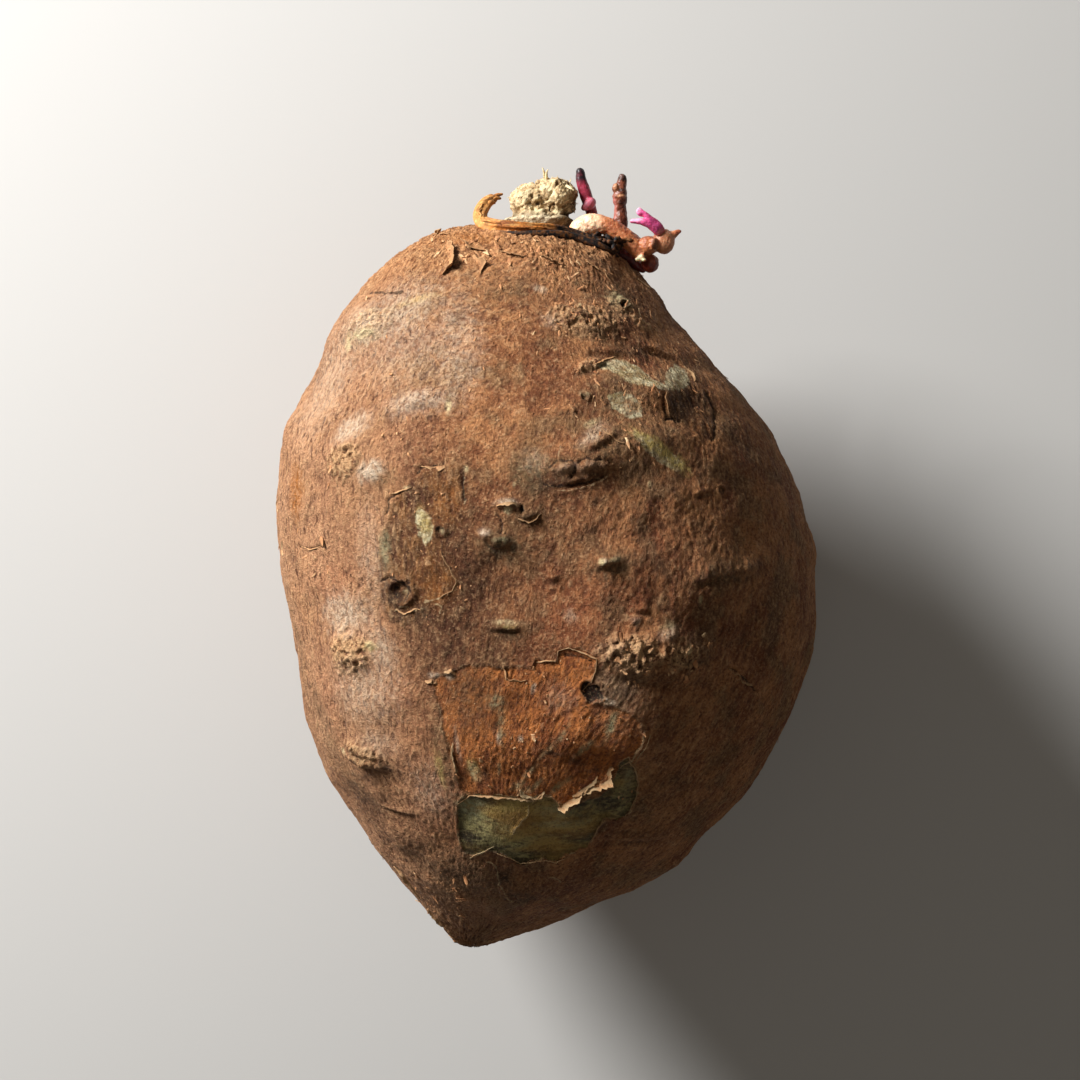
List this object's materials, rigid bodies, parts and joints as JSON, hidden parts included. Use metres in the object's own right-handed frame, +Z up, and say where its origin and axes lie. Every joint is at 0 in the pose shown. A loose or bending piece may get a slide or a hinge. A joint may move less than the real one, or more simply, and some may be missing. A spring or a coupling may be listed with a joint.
{
  "type": "sweet potato",
  "caption": "Plump ovoid sweet potato with scarred, peeling brown-pink skin, a dry vine stub and young shoots at its crown, lying on its side.",
  "frame": {"origin": "middle of the small flat spot on the tuber's underside that it rests on", "axes": "+Y from the root tip to the crown, along the tuber's length; +Z up, away from the surface it lies on; +X to the tuber's right seen from above with the crown at the top"},
  "size_m": [0.1021, 0.1484, 0.0873],
  "materials": {
    "skin": "dry, leathery, finely wrinkled skin",
    "cork": "dry, crumbling, fibrous",
    "dry_fibre": "dry fibrous strand, dark at its right end",
    "sprout_flesh": "smooth, slightly waxy",
    "magenta_leaf": "smooth, slightly waxy",
    "pink_stem": "smooth, slightly waxy",
    "brown_stem": "shrivelled",
    "red_stem": "smooth"
  },
  "bodies": {
    "root": {"tuber": "skin", "vine_stub": "cork", "dry_strand": "dry_fibre", "fleshy_sprout": "sprout_flesh", "magenta_bud": "magenta_leaf", "pink_shoot": "pink_stem", "brown_shoot": "brown_stem", "red_shoot": "red_stem"}
  },
  "joints": []
}
